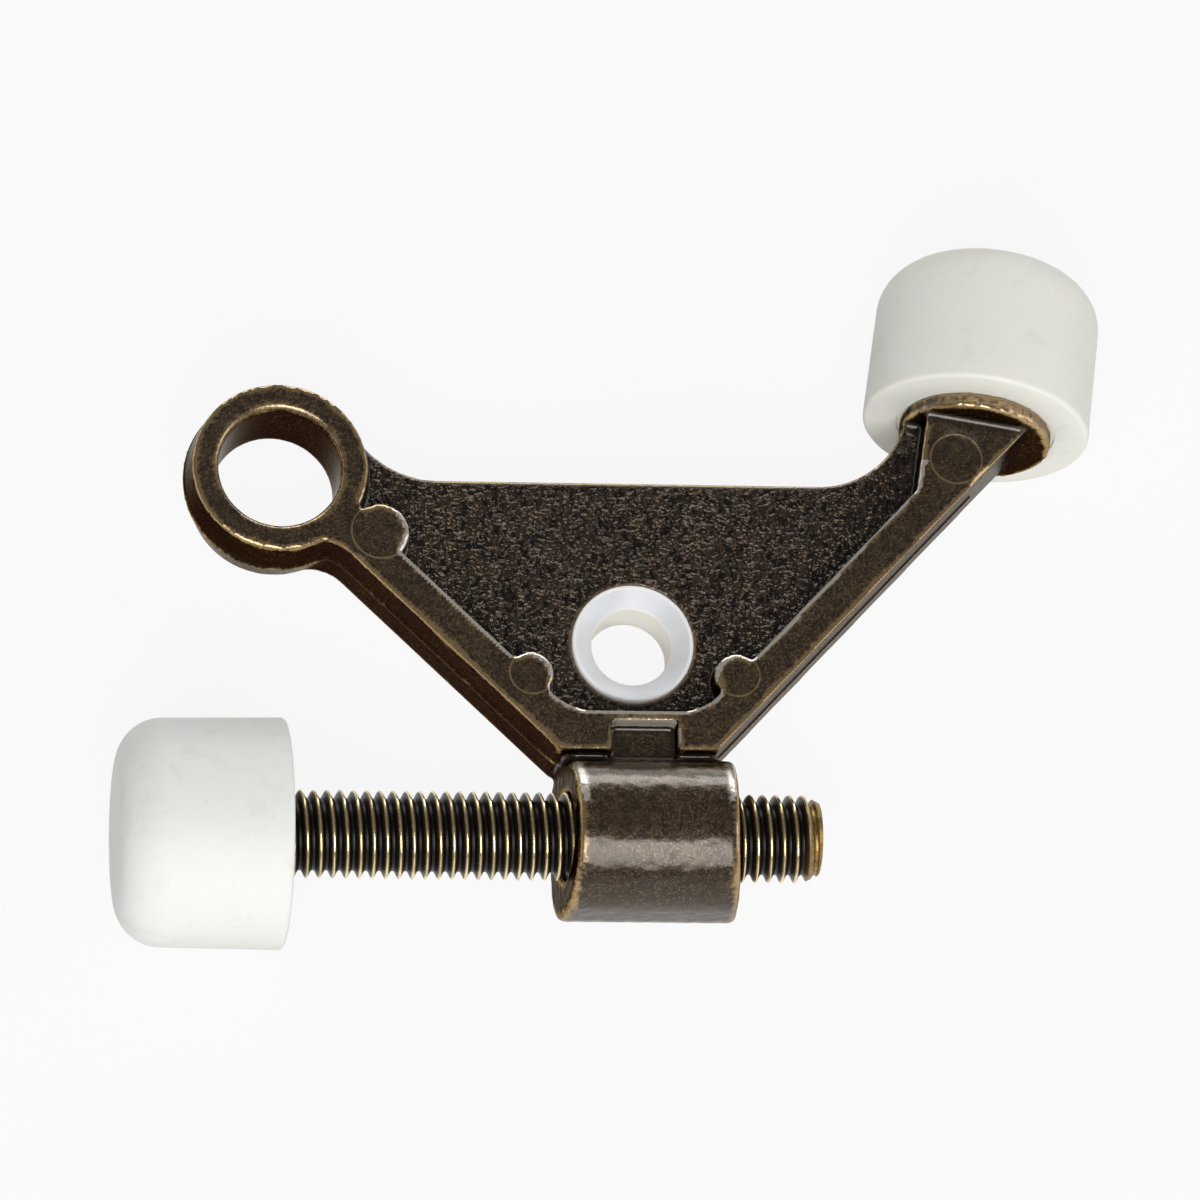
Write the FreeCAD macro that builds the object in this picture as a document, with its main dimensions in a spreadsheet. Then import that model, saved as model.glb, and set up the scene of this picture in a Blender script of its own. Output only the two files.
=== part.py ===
import FreeCAD, Part
import math
import os
import re
import Sketcher

# Hinge pin door stop: a cast V-shaped bracket that hangs on a hinge pin, with a nylon bushing,
# a fixed rubber tip on one arm and a rubber tip on an adjusting screw under the other.
# Millimetres. The origin is on the hinge-pin axis at mid thickness: +Z is the hinge pin's axis,
# +X runs along the adjusting screw towards its free end, and +Y points away from the screw.

doc = FreeCAD.newDocument("hinge_pin_door_stop")
dims = doc.addObject("Spreadsheet::Sheet", "dims")

sizes = [
    # casting
    ("plate_thickness", 8.2),
    ("recess_depth", 2.8),
    ("rail_width", 3.4),
    ("bottom_rail_width", 3.7),
    ("inner_corner_radius", 5.0),
    ("web_fillet_radius", 8.7),
    # eye at the end of the left arm
    ("eye_x", -31.6),
    ("eye_y", 15.4),
    ("eye_radius", 8.3),
    ("eye_front_radius", 7.85),
    ("eye_back_radius", 7.4),
    ("eye_chamfer", 0.35),
    # holes for the hinge pin's bushing, the same in the eye and in the web
    ("hole_radius", 5.5),
    # arms
    ("left_arm_angle", 45.0),
    ("left_arm_inset", 2.0),
    ("arm_fillet_radius", 4.0),
    ("right_arm_angle", 46.5),
    # end of the right arm, with the flange and the post that carry the fixed tip
    ("head_x", 32.15),
    ("head_y", 20.35),
    ("head_lean", 9.6),
    ("head_tilt", 6.0),
    ("head_left_width", 5.0),
    ("head_right_width", 4.3),
    ("flange_radius", 6.9),
    ("flange_thickness", 1.4),
    ("web_end_inset", 0.3),
    # round ejector pads
    ("pad_rise", 0.12),
    ("eye_pad_along", 10.5),
    ("eye_pad_radius", 2.6),
    ("low_pad_lift", 3.4),
    ("low_pad_radius", 2.0),
    ("head_pad_along", 3.6),
    ("head_pad_across", 1.9),
    ("head_pad_radius", 2.35),
    # notch in the bottom rail
    ("notch_x", 0.4),
    ("notch_width", 6.0),
    ("notch_height", 2.8),
    ("notch_depth", 2.0),
    # threaded boss
    ("boss_x", 1.1),
    ("boss_length", 15.4),
    ("boss_radius", 6.9),
    ("boss_back", 6.6),
    ("boss_back_radius", 4.0),
    ("boss_draft", 4.5),
    ("boss_edge_radius", 0.6),
    # adjusting screw
    ("screw_drop", 17.8),
    ("screw_radius", 3.95),
    ("screw_reach", 47.9),
    ("screw_taper_length", 1.6),
    ("screw_taper_radius", 3.0),
    ("screw_clearance", 0.05),
    # rubber tips, both from one mould
    ("mouth_x", -31.7),
    ("tip_length", 14.9),
    ("tip_mouth_radius", 10.3),
    ("tip_end_radius", 10.1),
    ("tip_mouth_round", 0.9),
    ("tip_end_round", 4.0),
    ("seat_depth", 0.2),
    ("seat_clearance", 0.3),
    ("socket_depth", 5.0),
    ("knob_radius", 5.4),
    ("knob_length", 3.0),
    ("knob_clearance", 0.05),
    # nylon bushing
    ("bushing_bore_radius", 3.6),
    ("bushing_mouth_radius", 5.2),
    ("bushing_mouth_depth", 1.2),
    ("bushing_front", 0.3),
    ("bushing_back", 2.5),
    ("bushing_clearance", 0.03),
]
for row, (alias, size) in enumerate(sizes, start=1):
    dims.set(f"A{row}", alias)
    dims.set(f"B{row}", str(size))
    dims.setAlias(f"B{row}", alias)
doc.recompute()

alias_words = re.compile(r"\b(" + "|".join(alias for alias, _ in sizes) + r")\b")
near_enough = 0.01


def linked(text):
    """The expression with each named size read from the sheet."""
    return alias_words.sub(r"dims.\1", str(text))


def number(owner, text):
    """What an expression comes to now."""
    return float(owner.evalExpression(linked(text)))


def add_body(label):
    body = doc.addObject("PartDesign::Body", label)
    body.Label = label
    return body


def add_sketch(body, name, role, offset=None):
    """A sketch on one of the body's own planes, shifted and turned by an expression."""
    plane = next(item for item in body.Origin.OriginFeatures if item.Role == role)
    sketch = body.newObject("Sketcher::SketchObject", name)
    sketch.AttachmentSupport = [(plane, "")]
    sketch.MapMode = "FlatFace"
    if offset:
        sketch.setExpression("AttachmentOffset", linked(offset))
    return sketch


def constrain(sketch, kind, ends, text):
    """A dimension of the sketch that follows an expression."""
    index = sketch.addConstraint(Sketcher.Constraint(kind, *ends, number(sketch, text)))
    sketch.setExpression(f"Constraints[{index}]", linked(text))


def arc_between(start, end, radius):
    """The short arc from start to end, anticlockwise for a positive radius."""
    middle = (start + end) * 0.5
    chord = end - start
    left = FreeCAD.Vector(-chord.y, chord.x, 0).normalize()
    rise = math.sqrt(max(radius**2 - (chord.Length / 2) ** 2, 0.0))
    center = middle + left * math.copysign(rise, radius)
    first, last = (start, end) if radius > 0 else (end, start)
    angles = [math.atan2(point.y - center.y, point.x - center.x) for point in (first, last)]
    circle = Part.Circle(center, FreeCAD.Vector(0, 0, 1), abs(radius))
    return Part.ArcOfCircle(circle, angles[0], angles[1])


def add_outline(sketch, corners):
    """A closed outline: each corner is (x, y), or (x, y, radius) where an arc leads to the next."""
    points = [FreeCAD.Vector(number(sketch, c[0]), number(sketch, c[1]), 0) for c in corners]
    ends = []
    for corner, start, end in zip(corners, points, points[1:] + points[:1]):
        if len(corner) == 2:
            index = sketch.addGeometry(Part.LineSegment(start, end), False)
            ends.append((index, 1, 2))
            continue
        radius = number(sketch, corner[2])
        index = sketch.addGeometry(arc_between(start, end, radius), False)
        ends.append((index, 1, 2) if radius > 0 else (index, 2, 1))
    for here, following in zip(ends, ends[1:] + ends[:1]):
        sketch.addConstraint(Sketcher.Constraint("Coincident", here[0], here[2], following[0], following[1]))
    for corner, (index, start, _) in zip(corners, ends):
        constrain(sketch, "DistanceX", (-1, 1, index, start), corner[0])
        constrain(sketch, "DistanceY", (-1, 1, index, start), corner[1])
        if len(corner) == 3:
            constrain(sketch, "Radius", (index,), corner[2].lstrip("-"))


def add_circle(sketch, x, y, radius):
    center = FreeCAD.Vector(number(sketch, x), number(sketch, y), 0)
    circle = Part.Circle(center, FreeCAD.Vector(0, 0, 1), number(sketch, radius))
    index = sketch.addGeometry(circle, False)
    constrain(sketch, "DistanceX", (-1, 1, index, 3), x)
    constrain(sketch, "DistanceY", (-1, 1, index, 3), y)
    constrain(sketch, "Radius", (index,), radius)


def add_pad(body, name, sketch, length, side="Symmetric"):
    pad = body.newObject("PartDesign::Pad", name)
    pad.Profile = sketch
    pad.SideType = side
    pad.setExpression("Length", linked(length))
    doc.recompute()
    return pad


def add_pocket(body, name, sketch, depth=None, up=False):
    """A pocket into the sketch's back side, or its front with up, or through all with no depth."""
    pocket = body.newObject("PartDesign::Pocket", name)
    pocket.Profile = sketch
    if depth is None:
        pocket.SideType = "Symmetric"
        pocket.Type = "ThroughAll"
    else:
        pocket.Reversed = up
        pocket.setExpression("Length", linked(depth))
    doc.recompute()
    return pocket


def add_revolution(body, name, sketch, axis):
    turned = body.newObject("PartDesign::Revolution", name)
    turned.Profile = sketch
    turned.ReferenceAxis = (sketch, [axis])
    turned.Angle = 360
    doc.recompute()
    return turned


def edges_where(feature, test):
    """The names of a feature's edges that pass a test."""
    return [f"Edge{i}" for i, edge in enumerate(feature.Shape.Edges, start=1) if test(edge)]


def tip_profile(sketch):
    """Half section of a rubber tip: across is the radius, up is the way from its mouth to its end."""
    seat = "(flange_radius + seat_clearance)"
    neck = "(screw_radius + knob_clearance)"
    knob = "(knob_radius + knob_clearance)"
    add_outline(sketch, [
        (seat, "0"),
        ("tip_mouth_radius - tip_mouth_round", "0", "tip_mouth_round"),
        ("tip_mouth_radius", "tip_mouth_round"),
        ("tip_end_radius", "tip_length - tip_end_round", "tip_end_round"),
        ("tip_end_radius - tip_end_round", "tip_length"),
        ("0", "tip_length"),
        ("0", "socket_depth + knob_length + 2 * knob_clearance"),
        (knob, "socket_depth + knob_length + 2 * knob_clearance"),
        (knob, "socket_depth"),
        (neck, "socket_depth"),
        (neck, "seat_depth"),
        (seat, "seat_depth"),
    ])


# Places that several pieces share

half = "plate_thickness / 2"
web_half = "(plate_thickness / 2 - recess_depth)"
frame_bottom = "(boss_radius - screw_drop)"
recess_bottom = "(boss_radius - screw_drop + bottom_rail_width)"
flange_middle = "(flange_thickness / 2)"
arm_and_lean = "(right_arm_angle + head_lean)"


def head_point(across, along):
    """A point given by its distances across and along the fixed tip's axis."""
    x = f"head_x + ({across}) * cos(head_lean) + ({along}) * sin(head_lean)"
    y = f"head_y - ({across}) * sin(head_lean) + ({along}) * cos(head_lean)"
    return f"({x})", f"({y})"


def left_arm_x(offset, y):
    """Where the line at an offset from the eye's centre along the left arm reaches a height."""
    slope = "tan(left_arm_angle)"
    return f"(eye_x + ({offset}) / sin(left_arm_angle) + (eye_y - ({y})) / {slope})"


corner_x, corner_y = head_point("head_right_width", flange_middle)


def right_arm_x(inset, y):
    """Where the line at an inset from the right arm's outer side reaches a height."""
    return f"({corner_x} - ({inset}) / sin(right_arm_angle) - ({corner_y} - ({y})) / tan(right_arm_angle))"


head_frame = "placement(vector(head_x; head_y; 0); rotation(-head_lean; 0; -head_tilt))"
screw_frame = "placement(vector(mouth_x; -screw_drop; 0); rotation(90; 0; 0))"

# Bracket: one casting

bracket = add_body("bracket")

# boss: round towards the front, with a flat back
boss_top = "(boss_radius - screw_drop)"
boss_low = "(-boss_radius - screw_drop)"
boss_side = "(boss_back_radius - boss_back)"
boss_frame = "placement(vector(0; 0; boss_x); rotation(0; 0; 0))"
boss_sketch = add_sketch(bracket, "boss_section", "YZ_Plane", boss_frame)
add_outline(boss_sketch, [
    (boss_top, "0", "boss_radius"),
    ("-screw_drop", "boss_radius", "boss_radius"),
    (boss_low, "0"),
    (boss_low, boss_side, "boss_back_radius"),
    (f"{boss_low} + boss_back_radius", "-boss_back"),
    (f"{boss_top} - boss_back_radius", "-boss_back", "boss_back_radius"),
    (boss_top, boss_side),
])
spare = "2 * boss_radius"
add_pad(bracket, "boss", boss_sketch, f"boss_length + {spare}")

# the boss's ends slope in towards the front, so that the casting leaves its mould
ends_sketch = add_sketch(bracket, "boss_ends", "XZ_Plane")
for side in ("-", "+"):
    near = f"boss_x {side} (boss_length / 2"
    back = f"{near} + boss_radius * tan(boss_draft))"
    front = f"{near} - boss_radius * tan(boss_draft))"
    outside = f"boss_x {side} (boss_length + {spare})"
    add_outline(ends_sketch, [
        (back, "-boss_radius"),
        (front, "boss_radius"),
        (outside, "boss_radius"),
        (outside, "-boss_radius"),
    ])
ends = add_pocket(bracket, "boss_end_draft", ends_sketch)


def on_boss_end(edge):
    """An edge of either sloping end face."""
    reach = number(dims, "boss_length / 2")
    lean = math.tan(math.radians(number(dims, "boss_draft")))
    middle = edge.valueAt((edge.FirstParameter + edge.LastParameter) / 2)
    places = [vertex.Point for vertex in edge.Vertexes] + [middle]
    offsets = [abs(point.x - number(dims, "boss_x")) + lean * point.z - reach for point in places]
    return max(abs(offset) for offset in offsets) < near_enough


boss_round = bracket.newObject("PartDesign::Fillet", "boss_round")
boss_round.Base = (ends, edges_where(ends, on_boss_end))
boss_round.setExpression("Radius", linked("boss_edge_radius"))
doc.recompute()

# plate: both arms and the web between them, rounded into the eye and the head
eye_reach = "sqrt(eye_radius ^ 2 + 2 * eye_radius * web_fillet_radius)"
eye_share = "(eye_radius / (eye_radius + web_fillet_radius))"
web_end_x, web_end_y = head_point("web_end_inset - flange_radius", flange_middle)
web_end_drop = f"(web_fillet_radius - ({web_end_y} - eye_y))"
outer_offset = "(left_arm_inset - rail_width)"
arm_reach = f"sqrt((eye_back_radius + arm_fillet_radius) ^ 2 - ({outer_offset} - arm_fillet_radius) ^ 2)"
arm_share = "(eye_back_radius / (eye_back_radius + arm_fillet_radius))"


def arm_point(along, offset):
    """A point given by its distances along and across the left arm from the eye's centre."""
    x = f"eye_x + ({along}) * cos(left_arm_angle) + ({offset}) * sin(left_arm_angle)"
    y = f"eye_y - ({along}) * sin(left_arm_angle) + ({offset}) * cos(left_arm_angle)"
    return x, y


arm_start = arm_point(f"{arm_reach} * {arm_share}", f"({outer_offset} - arm_fillet_radius) * {arm_share}")
plate_sketch = add_sketch(bracket, "plate_outline", "XY_Plane")
add_outline(plate_sketch, [
    (*arm_start, "-arm_fillet_radius"),
    arm_point(arm_reach, outer_offset),
    (left_arm_x(outer_offset, frame_bottom), frame_bottom),
    (right_arm_x("0", frame_bottom), frame_bottom),
    (corner_x, corner_y),
    (web_end_x, web_end_y, "-web_fillet_radius"),
    (f"{web_end_x} - sqrt(web_fillet_radius ^ 2 - {web_end_drop} ^ 2)", "eye_y"),
    (f"eye_x + {eye_reach}", "eye_y", "-web_fillet_radius"),
    (f"eye_x + {eye_reach} * {eye_share}", f"eye_y + web_fillet_radius * {eye_share}"),
])
add_pad(bracket, "plate", plate_sketch, "plate_thickness")

# recess on each face, which leaves the rails and the head standing
left_round = "(inner_corner_radius * tan(left_arm_angle / 2))"
right_round = "(inner_corner_radius * tan(right_arm_angle / 2))"
low_left = left_arm_x("left_arm_inset", recess_bottom)
low_right = right_arm_x("rail_width", recess_bottom)
head_width = "(head_left_width + head_right_width)"
head_side = f"((rail_width - {head_width} * sin{arm_and_lean}) / cos{arm_and_lean})"
head_foot = head_point("-head_left_width", f"{flange_middle} + {head_side}")
head_top = head_point("-head_left_width", "2 * flange_radius")
recess_corners = [
    arm_point("0", "left_arm_inset"),
    (f"{low_left} - {left_round} * cos(left_arm_angle)",
     f"{recess_bottom} + {left_round} * sin(left_arm_angle)", "inner_corner_radius"),
    (f"{low_left} + {left_round}", recess_bottom),
    (f"{low_right} - {right_round}", recess_bottom, "inner_corner_radius"),
    (f"{low_right} + {right_round} * cos(right_arm_angle)",
     f"{recess_bottom} + {right_round} * sin(right_arm_angle)"),
    head_foot,
    head_top,
    ("eye_x", head_top[1]),
]
front_sketch = add_sketch(bracket, "front_recess_outline", "XY_Plane",
                          f"placement(vector(0; 0; {half}); rotation(0; 0; 0))")
add_outline(front_sketch, recess_corners)
add_pocket(bracket, "front_recess", front_sketch, "recess_depth")
back_sketch = add_sketch(bracket, "back_recess_outline", "XY_Plane",
                         f"placement(vector(0; 0; -{half}); rotation(0; 0; 0))")
add_outline(back_sketch, recess_corners)
add_pocket(bracket, "back_recess", back_sketch, "recess_depth", up=True)

# eye, widest at the parting line and drafted both ways from it
eye_sketch = add_sketch(bracket, "eye_section", "XZ_Plane",
                        "placement(vector(eye_x; 0; -eye_y); rotation(0; 0; 0))")
add_outline(eye_sketch, [
    ("0", f"-{half}"),
    ("eye_back_radius", f"-{half}"),
    ("eye_radius", "0"),
    ("eye_front_radius", half),
    ("0", half),
])
add_revolution(bracket, "eye", eye_sketch, "V_Axis")

# ejector pads on the front, from the web up to just above the rails
pad_sketch = add_sketch(bracket, "pad_outlines", "XY_Plane",
                        f"placement(vector(0; 0; {web_half}); rotation(0; 0; 0))")
low_pad_y = f"({recess_bottom} + low_pad_lift)"
head_pad = head_point("-head_pad_across", "-head_pad_along")
add_circle(pad_sketch, *arm_point("eye_pad_along", "left_arm_inset"), "eye_pad_radius")
add_circle(pad_sketch, left_arm_x("left_arm_inset", low_pad_y), low_pad_y, "low_pad_radius")
add_circle(pad_sketch, right_arm_x("rail_width", low_pad_y), low_pad_y, "low_pad_radius")
add_circle(pad_sketch, *head_pad, "head_pad_radius")
add_pad(bracket, "ejector_pads", pad_sketch, "recess_depth + pad_rise", side="One side")

# flange, post and the post's knob, turned about the fixed tip's axis
post_end = "flange_thickness + socket_depth - seat_depth + 2 * knob_clearance"
head_sketch = add_sketch(bracket, "flange_section", "XY_Plane", head_frame)
add_outline(head_sketch, [
    ("0", "0"),
    ("flange_radius", "0"),
    ("flange_radius", "flange_thickness"),
    ("screw_radius", "flange_thickness"),
    ("screw_radius", post_end),
    ("knob_radius", post_end),
    ("knob_radius", f"{post_end} + knob_length"),
    ("0", f"{post_end} + knob_length"),
])
add_revolution(bracket, "flange", head_sketch, "V_Axis")

# notch in the bottom rail
notch_sketch = add_sketch(bracket, "notch_outline", "XY_Plane",
                          f"placement(vector(0; 0; {half}); rotation(0; 0; 0))")
add_outline(notch_sketch, [
    ("notch_x - notch_width / 2", frame_bottom),
    ("notch_x + notch_width / 2", frame_bottom),
    ("notch_x + notch_width / 2", f"{frame_bottom} + notch_height"),
    ("notch_x - notch_width / 2", f"{frame_bottom} + notch_height"),
])
add_pocket(bracket, "notch", notch_sketch, "notch_depth")

# hinge-pin holes and the hole for the screw
hole_sketch = add_sketch(bracket, "hinge_pin_holes", "XY_Plane")
add_circle(hole_sketch, "eye_x", "eye_y", "hole_radius")
add_circle(hole_sketch, "0", "0", "hole_radius")
holes = add_pocket(bracket, "hinge_pin_hole", hole_sketch)


def on_eye_mouth(edge):
    """An edge at either mouth of the eye's hole."""
    middle = edge.valueAt((edge.FirstParameter + edge.LastParameter) / 2)
    across = math.hypot(middle.x - number(dims, "eye_x"), middle.y - number(dims, "eye_y"))
    at_face = abs(abs(middle.z) - number(dims, half)) < near_enough
    return at_face and abs(across - number(dims, "hole_radius")) < near_enough


eye_chamfer = bracket.newObject("PartDesign::Chamfer", "eye_chamfers")
eye_chamfer.Base = (holes, edges_where(holes, on_eye_mouth))
eye_chamfer.setExpression("Size", linked("eye_chamfer"))
doc.recompute()

screw_hole_sketch = add_sketch(bracket, "screw_hole_outline", "YZ_Plane", boss_frame)
add_circle(screw_hole_sketch, "-screw_drop", "0", "screw_radius + screw_clearance")
screw_hole = bracket.newObject("PartDesign::Pocket", "screw_hole")
screw_hole.Profile = screw_hole_sketch
screw_hole.SideType = "Symmetric"
screw_hole.setExpression("Length", linked(f"boss_length + {spare}"))
doc.recompute()

# Bushing: a plain nylon sleeve pressed into the hole in the web

bushing = add_body("bushing")
bushing_sketch = add_sketch(bushing, "bushing_section", "XZ_Plane")
bushing_top = f"({web_half} + bushing_front)"
bushing_low = f"(-{web_half} - bushing_back)"
bushing_outside = "hole_radius - bushing_clearance"
add_outline(bushing_sketch, [
    ("bushing_bore_radius", bushing_low),
    (bushing_outside, bushing_low),
    (bushing_outside, bushing_top),
    ("bushing_mouth_radius", bushing_top),
    ("bushing_bore_radius", f"{bushing_top} - bushing_mouth_depth"),
])
add_revolution(bushing, "bushing_sleeve", bushing_sketch, "V_Axis")

# Fixed tip: rubber, pushed over the post until its seat meets the flange

fixed_tip = add_body("fixed_tip")
tip_shift = "(flange_thickness - seat_depth + knob_clearance)"
fixed_frame = head_frame + f" * placement(vector(0; {tip_shift}; 0); rotation(0; 0; 0))"
fixed_sketch = add_sketch(fixed_tip, "fixed_tip_section", "XY_Plane", fixed_frame)
tip_profile(fixed_sketch)
add_revolution(fixed_tip, "fixed_tip_rubber", fixed_sketch, "V_Axis")

# Adjustable tip: the same moulding, turned to face along the screw

adjustable_tip = add_body("adjustable_tip")
adjustable_sketch = add_sketch(adjustable_tip, "adjustable_tip_section", "XY_Plane", screw_frame)
tip_profile(adjustable_sketch)
add_revolution(adjustable_tip, "adjustable_tip_rubber", adjustable_sketch, "V_Axis")

# Adjusting screw: a threaded rod whose knob turns inside the adjustable tip

adjusting_screw = add_body("adjusting_screw")
screw_sketch = add_sketch(adjusting_screw, "screw_section", "XY_Plane", screw_frame)
knob_start = "(socket_depth + knob_clearance)"
add_outline(screw_sketch, [
    ("0", "-screw_reach"),
    ("screw_taper_radius", "-screw_reach"),
    ("screw_radius", "screw_taper_length - screw_reach"),
    ("screw_radius", knob_start),
    ("knob_radius", knob_start),
    ("knob_radius", f"{knob_start} + knob_length"),
    ("0", f"{knob_start} + knob_length"),
])
add_revolution(adjusting_screw, "screw_rod", screw_sketch, "V_Axis")

# Checks and output

doc.recompute()
pieces = [bracket, bushing, fixed_tip, adjustable_tip, adjusting_screw]
for item in doc.Objects:
    if "Invalid" in item.State or "Error" in item.State:
        raise RuntimeError(f"{item.Name} failed: {item.State}")
for piece in pieces:
    if piece.Shape.isNull() or not piece.Shape.isValid():
        raise RuntimeError(f"{piece.Label} has no valid shape")
    if len(piece.Shape.Solids) != 1:
        raise RuntimeError(f"{piece.Label} has {len(piece.Shape.Solids)} solids")
os.makedirs("parts", exist_ok=True)
for piece in pieces:
    piece.Shape.exportStep(f"parts/{piece.Label}.step")
    print(f"{piece.Label}: {piece.Shape.Volume:.1f} cubic mm")
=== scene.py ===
import math
import bpy
import numpy as np
from mathutils import Matrix, Vector


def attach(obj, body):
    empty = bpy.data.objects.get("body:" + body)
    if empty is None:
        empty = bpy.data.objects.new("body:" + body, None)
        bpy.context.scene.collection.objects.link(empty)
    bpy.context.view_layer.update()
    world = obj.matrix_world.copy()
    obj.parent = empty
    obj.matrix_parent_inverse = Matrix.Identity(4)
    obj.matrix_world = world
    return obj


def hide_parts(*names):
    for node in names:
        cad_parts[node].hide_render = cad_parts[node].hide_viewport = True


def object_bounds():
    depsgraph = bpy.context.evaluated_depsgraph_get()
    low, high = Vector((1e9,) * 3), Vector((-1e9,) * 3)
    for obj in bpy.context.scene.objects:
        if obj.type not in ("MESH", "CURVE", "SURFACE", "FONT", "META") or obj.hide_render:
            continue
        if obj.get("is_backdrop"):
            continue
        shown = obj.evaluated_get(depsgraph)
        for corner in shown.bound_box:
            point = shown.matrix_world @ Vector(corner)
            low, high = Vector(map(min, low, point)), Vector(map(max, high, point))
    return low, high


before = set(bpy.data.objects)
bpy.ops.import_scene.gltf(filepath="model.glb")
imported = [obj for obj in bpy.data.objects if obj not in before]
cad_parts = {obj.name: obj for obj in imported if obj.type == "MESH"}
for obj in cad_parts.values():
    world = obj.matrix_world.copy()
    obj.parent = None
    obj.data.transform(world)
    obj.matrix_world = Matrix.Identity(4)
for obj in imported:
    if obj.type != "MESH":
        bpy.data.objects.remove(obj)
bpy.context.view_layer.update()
print("frame loaded:", sorted(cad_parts))

mm = 0.001


# modelling helpers

def pickOnly(piece):
    if bpy.context.mode != "OBJECT":
        bpy.ops.object.mode_set(mode="OBJECT")
    bpy.ops.object.select_all(action="DESELECT")
    piece.select_set(True)
    bpy.context.view_layer.objects.active = piece


def applyModifier(piece, kind, **settings):
    pickOnly(piece)
    modifier = piece.modifiers.new(kind.lower(), kind)
    for name, value in settings.items():
        setattr(modifier, name, value)
    bpy.ops.object.modifier_apply(modifier=modifier.name)


def applyPlace(piece):
    pickOnly(piece)
    bpy.ops.object.transform_apply(location=True, rotation=True, scale=True)


def selectEdges(piece, test):
    # edges whose two ends pass the test, selected in edit mode
    bpy.ops.object.mode_set(mode="EDIT")
    bpy.ops.mesh.select_mode(type="EDGE")
    bpy.ops.mesh.select_all(action="DESELECT")
    bpy.ops.object.mode_set(mode="OBJECT")
    verts = piece.data.vertices
    for edge in piece.data.edges:
        edge.select = all(test(verts[index].co) for index in edge.vertices)
    bpy.ops.object.mode_set(mode="EDIT")


def bevelRing(piece, along, radius, width, segments):
    # rounds the ring of edges at one place of a turned piece
    near = 0.02 * mm
    selectEdges(piece, lambda co: abs(co.z - along) < near and abs(math.hypot(co.x, co.y) - radius) < near)
    bpy.ops.mesh.bevel(offset=width, segments=segments, profile=0.5, affect="EDGES", clamp_overlap=False)
    bpy.ops.object.mode_set(mode="OBJECT")


def turnedPiece(name, rings, sides, closed):
    # a ring of points drawn out from place to place along z, as on a lathe
    bpy.ops.object.select_all(action="DESELECT")
    along, radius = rings[0]
    bpy.ops.mesh.primitive_circle_add(vertices=sides, radius=radius, location=(0, 0, along))
    piece = bpy.context.object
    piece.name = name
    applyPlace(piece)
    bpy.ops.object.mode_set(mode="EDIT")
    bpy.ops.mesh.select_all(action="SELECT")
    for nextAlong, nextRadius in rings[1:]:
        bpy.ops.mesh.extrude_edges_move(TRANSFORM_OT_translate={"value": (0, 0, nextAlong - along)})
        scale = nextRadius / radius
        bpy.ops.transform.resize(value=(scale, scale, 1), center_override=(0, 0, nextAlong))
        along, radius = nextAlong, nextRadius
    if closed:  # the last ring comes back onto the first
        bpy.ops.mesh.select_all(action="SELECT")
        bpy.ops.mesh.remove_doubles(threshold=0.001 * mm)
    else:  # flat ends
        bpy.ops.mesh.select_all(action="DESELECT")
        bpy.ops.mesh.select_non_manifold()
        bpy.ops.mesh.edge_face_add()
    bpy.ops.mesh.select_all(action="SELECT")
    bpy.ops.mesh.normals_make_consistent(inside=False)
    bpy.ops.object.mode_set(mode="OBJECT")
    return piece


def placePiece(piece, matrix):
    piece.matrix_world = matrix
    applyPlace(piece)


def finishPiece(piece, body, node, material, angle):
    pickOnly(piece)
    bpy.ops.object.shade_smooth_by_angle(angle=math.radians(angle))
    piece.data.materials.clear()
    piece.data.materials.append(material)
    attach(piece, body)
    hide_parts(node)
    print(piece.name, "done,", sum(len(p.vertices) - 2 for p in piece.data.polygons), "triangles")


# shader wiring

class Wire:
    # one socket of a material, so that shader maths reads as plain arithmetic
    def __init__(self, tree, socket=None):
        self.tree = tree
        self.socket = socket

    def node(self, kind, settings, sockets, out=0):
        made = self.tree.nodes.new("ShaderNode" + kind)
        for name, value in settings.items():
            setattr(made, name, value)
        for name, value in sockets.items():
            if isinstance(value, Wire):
                self.tree.links.new(value.socket, made.inputs[name])
            else:
                made.inputs[name].default_value = value
        return Wire(self.tree, made.outputs[out])

    def maths(self, operation, first, second=0.0):
        return self.node("Math", {"operation": operation}, {0: first, 1: second})

    def __add__(self, other):
        return self.maths("ADD", self, other)

    def __radd__(self, other):
        return self.maths("ADD", other, self)

    def __sub__(self, other):
        return self.maths("SUBTRACT", self, other)

    def __rsub__(self, other):
        return self.maths("SUBTRACT", other, self)

    def __mul__(self, other):
        return self.maths("MULTIPLY", self, other)

    def __rmul__(self, other):
        return self.maths("MULTIPLY", other, self)


def step(wire, low, high):
    # 0 below low, 1 above high, smooth between
    return wire.node("MapRange", {"interpolation_type": "SMOOTHSTEP"},
                     {"Value": wire, "From Min": low, "From Max": high})


def blendColour(factor, first, second):
    return factor.node("Mix", {"data_type": "RGBA"}, {0: factor, 6: first, 7: second}, out=2)


def noiseAt(place, scale, detail=2.0, rough=0.5, warp=0.0):
    return place.node("TexNoise", {}, {"Vector": place, "Scale": scale, "Detail": detail,
                                       "Roughness": rough, "Distortion": warp})


def newMaterial(name):
    material = bpy.data.materials.new(name)
    material.use_nodes = True
    tree = material.node_tree
    shader = next(node for node in tree.nodes if node.type == "BSDF_PRINCIPLED")
    return material, Wire(tree), shader


def connect(shader, name, wire):
    wire.tree.links.new(wire.socket, shader.inputs[name])


def bumpOf(height, strength, distance):
    return height.node("Bump", {}, {"Height": height, "Strength": strength, "Distance": distance})


def sheetColour(red, green, blue):
    # a colour written in 0 to 255, in the linear form that the shader takes
    def linear(part):
        part = part / 255
        return part / 12.92 if part <= 0.04045 else ((part + 0.055) / 1.055) ** 2.4
    return (linear(red), linear(green), linear(blue), 1.0)


# casting: dark antique bronze over zinc

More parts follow.
